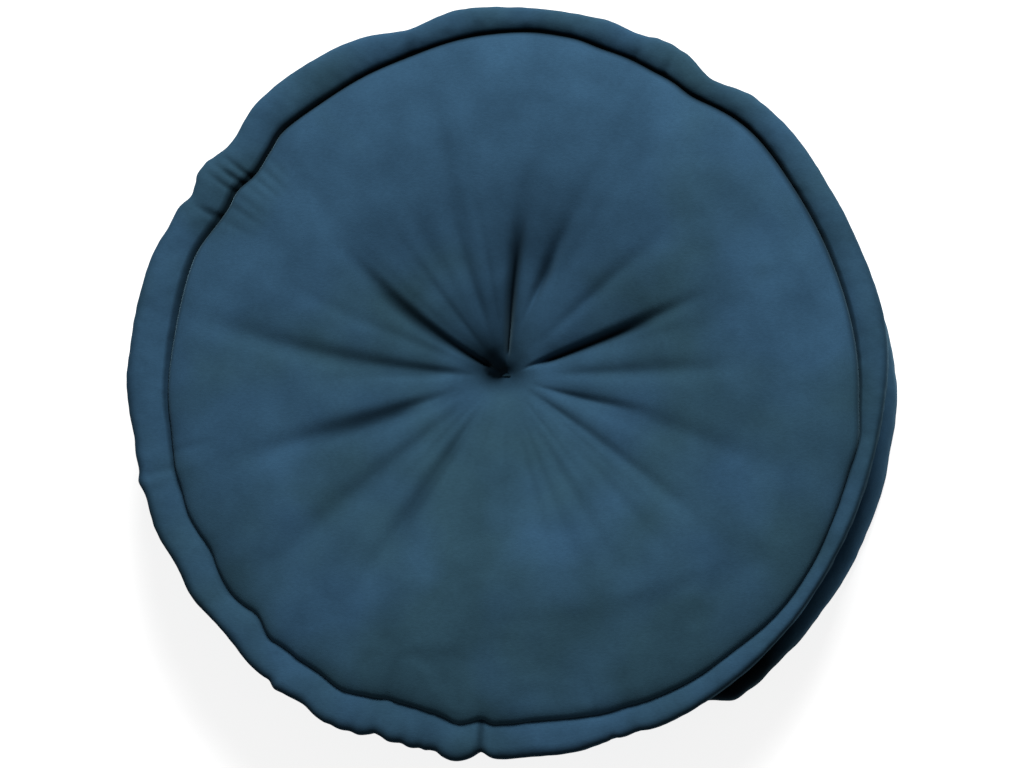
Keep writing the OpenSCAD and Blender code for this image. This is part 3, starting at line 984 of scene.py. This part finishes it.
def top_darkness(out):
    """The painted shade of the top, from 0 to 1, in its folds, along its seam and in and round its tuft.
    """
    angle = directions(TOP_TURNS)
    # Painted shade along the seam, strongest toward +Y where the roll's shadow falls on the top.
    seam = smooth(ring_shares(TOP_RINGS), SEAM_LINE_FROM, 1)
    seam = seam * (SEAM_LINE_FAINT + (1 - SEAM_LINE_FAINT) * northern(angle))
    dark = np.maximum(press_folds(angle, out, FOLDS)[1], seam)
    for feature in WEDGE_DARK:
        dark = np.maximum(dark, zone(angle, out, *feature))
    share, full, none = PIT_DARK_ROUND
    pit = share * fading(out, full, none) + sum(zone(angle, out, *feature) for feature in PIT_DARK)
    return 1 - (1 - dark) * (1 - np.clip(pit, 0, 1))


def swelling():
    """How far the cloth of the top moves in the simulation, on the panel's own fine grid."""
    start = top_panel_points(SIM_TURNS, SIM_RINGS)
    angle = np.broadcast_to(directions(SIM_TURNS), start.shape[:2])
    out = from_tuft(start)
    held = np.clip(press_folds(angle, out, FOLDS)[0] / SWELL_HELD_DEPTH, 0, 1)
    held[out < SWELL_HELD_R] = 1
    held[-1] = 1
    return finer(swell(start, held, SWELL_PRESSURE, SWELL_FRAMES, SWELL_MOST), TOP_TURNS, TOP_RINGS)


def from_tuft(points):
    """Distance from the tuft, as seen from above."""
    return np.linalg.norm(points[..., :2] - TUFT, axis=-1)


top_face = top_panel_points(TOP_TURNS, TOP_RINGS)
# Painted shade of the top, in its folds, along its seam and round its tuft.
top_painted_shade = top_darkness(from_tuft(top_face))
top_face += swelling()
base_face = base_panel_points(BASE_TURNS, BASE_RINGS)
top_beneath = deepest(top_face, 1, FILLING_STEP)[:, ::FILLING_STEP]
base_beneath = deepest(base_face, -1, FILLING_STEP)[:, ::FILLING_STEP]
foam_faces = (foam_face(top_beneath, TUFT, 1, FOAM_HIGH), foam_face(base_beneath, AXIS, -1, FOAM_LOW))

top_cloth = tuck(top_face, top_roll)
top_painted_shade = np.pad(top_painted_shade, ((0, len(top_cloth) - TOP_RINGS), (0, 0)), mode="edge")
settle(cloth_piece("top_panel_cloth", top_cloth, 1, velvet, True, 5, top_painted_shade),
       "top_panel")
settle(cloth_piece("bottom_panel_cloth", tuck(base_face, base_roll), -1, velvet, True, 3),
       "bottom_panel")
band_face = band_points()
# Painted shade on the band toward the lower right, away from the light.
band_painted_shade = np.broadcast_to(bumps(directions(BAND_TURNS), PAINTED_SIDE_SHADE), band_face.shape[:2])
settle(cloth_piece("side_band_cloth", band_face, 1, velvet_shade, False, 3, band_painted_shade),
       "side_band")
settle(roll_piece("top_roll_cloth", top_roll, velvet_roll, ROLL_TURNS, ROLL_SIDES, PUCKERS, 3),
       "top_roll_cover")
settle(roll_piece("bottom_roll_cloth", base_roll, velvet_shade, ROLL_TURNS, ROLL_SIDES, (), 11),
       "bottom_roll_cover")
settle(rope_piece("top_roll_filling", top_roll, cotton, ROPE_TURNS, ROPE_SIDES),
       "top_roll_rope")
settle(rope_piece("bottom_roll_filling", base_roll, cotton, ROPE_TURNS, ROPE_SIDES),
       "bottom_roll_rope")
settle(thread_piece("top_seam_thread", top_roll, dark_thread), "top_seam_stitches")
settle(thread_piece("bottom_seam_thread", base_roll, dark_thread), "bottom_seam_stitches")
settle(slab_piece("foam_block", *foam_faces, foam_yellow, True),
       "foam_core")
settle(slab_piece("top_wadding_layer", *wadding_faces(top_beneath, 1, FOAM_HIGH),
                  wadding_white, True), "top_wadding")
settle(slab_piece("bottom_wadding_layer", *wadding_faces(base_beneath, -1, FOAM_LOW),
                  wadding_white, True), "bottom_wadding")
settle(slab_piece("side_wadding_strip", *side_wadding_points(SIDE_WADDING_TURNS), wadding_white, False),
       "side_wadding")
cord = tube_points(cord_loop(), CORD_D / 2, CORD_SIDES, True)
settle(make_piece("tufting_cord", cord, [grid_faces(*cord.shape[:2], True, True)], cord_thread),
       "tuft_cord")

# ---- floor, light and camera ----

FLOOR_HALF = 30                        # metres
FLOOR_GREY, FLOOR_GLOW = 0.32, 0.84    # it glows a little, so that it looks white
WORLD_LIGHT = 0.22
KEY_FROM, KEY_DISTANCE, KEY_SIZE, KEY_POWER = (0.22, 1.0, 0.95), 3.0, 1.0, 156

floor_mesh = bpy.data.meshes.new("floor")
corners = [(x * FLOOR_HALF, y * FLOOR_HALF, 0) for x, y in ((-1, -1), (1, -1), (1, 1), (-1, 1))]
floor_mesh.from_pydata(corners, [], [(0, 1, 2, 3)])
floor = bpy.data.objects.new("floor", floor_mesh)
bpy.context.scene.collection.objects.link(floor)
pale, _, pale_shader = new_material("pale_floor")
pale_shader.inputs["Base Color"].default_value = (FLOOR_GREY, FLOOR_GREY, FLOOR_GREY, 1)
pale_shader.inputs["Roughness"].default_value = 0.9
pale_shader.inputs["Emission Color"].default_value = (1, 1, 1, 1)
pale_shader.inputs["Emission Strength"].default_value = FLOOR_GLOW
floor_mesh.materials.append(pale)


def area_light(name, direction, distance, size, power):
    """A square light in a direction from the origin, turned to face it."""
    light = bpy.data.lights.new(name, "AREA")
    light.energy = power
    light.size = size
    lamp = bpy.data.objects.new(name, light)
    toward = Vector(direction).normalized()
    lamp.location = toward * distance
    lamp.rotation_mode = "QUATERNION"
    lamp.rotation_quaternion = toward.to_track_quat("Z", "Y")
    bpy.context.scene.collection.objects.link(lamp)


area_light("key", KEY_FROM, KEY_DISTANCE, KEY_SIZE, KEY_POWER)

world = bpy.data.worlds.new("studio")
bpy.context.scene.world = world
world.use_nodes = True
world.node_tree.nodes["Background"].inputs["Color"].default_value = (1, 1, 1, 1)
world.node_tree.nodes["Background"].inputs["Strength"].default_value = WORLD_LIGHT

CAMERA_LEAN = 10.0       # degrees away from straight above
CAMERA_SIDE = 340.0      # in which direction it leans
CAMERA_LENS = 200.0      # mm
FRAME_W = 0.5446         # width of the view at the cushion, in metres
AIM_Z, AIM_RIGHT, AIM_UP = 0.061, 0.0024, -0.0005

lean, side = math.radians(CAMERA_LEAN), math.radians(CAMERA_SIDE)
away = Vector((math.sin(lean) * math.cos(side), math.sin(lean) * math.sin(side), math.cos(lean)))
right = Vector((0, 1, 0)).cross(away).normalized()
up = away.cross(right)
camera_data = bpy.data.cameras.new("camera")
camera_data.lens = CAMERA_LENS
camera_data.clip_end = 50
camera = bpy.data.objects.new("camera", camera_data)
camera_distance = FRAME_W * CAMERA_LENS / camera_data.sensor_width
aim = Vector((0, 0, AIM_Z)) + right * AIM_RIGHT + up * AIM_UP
camera.matrix_world = Matrix.Translation(aim + away * camera_distance) @ Matrix(
    (right, up, away)).transposed().to_4x4()
bpy.context.scene.collection.objects.link(camera)
bpy.context.scene.camera = camera
bpy.context.scene.view_settings.view_transform = "Standard"
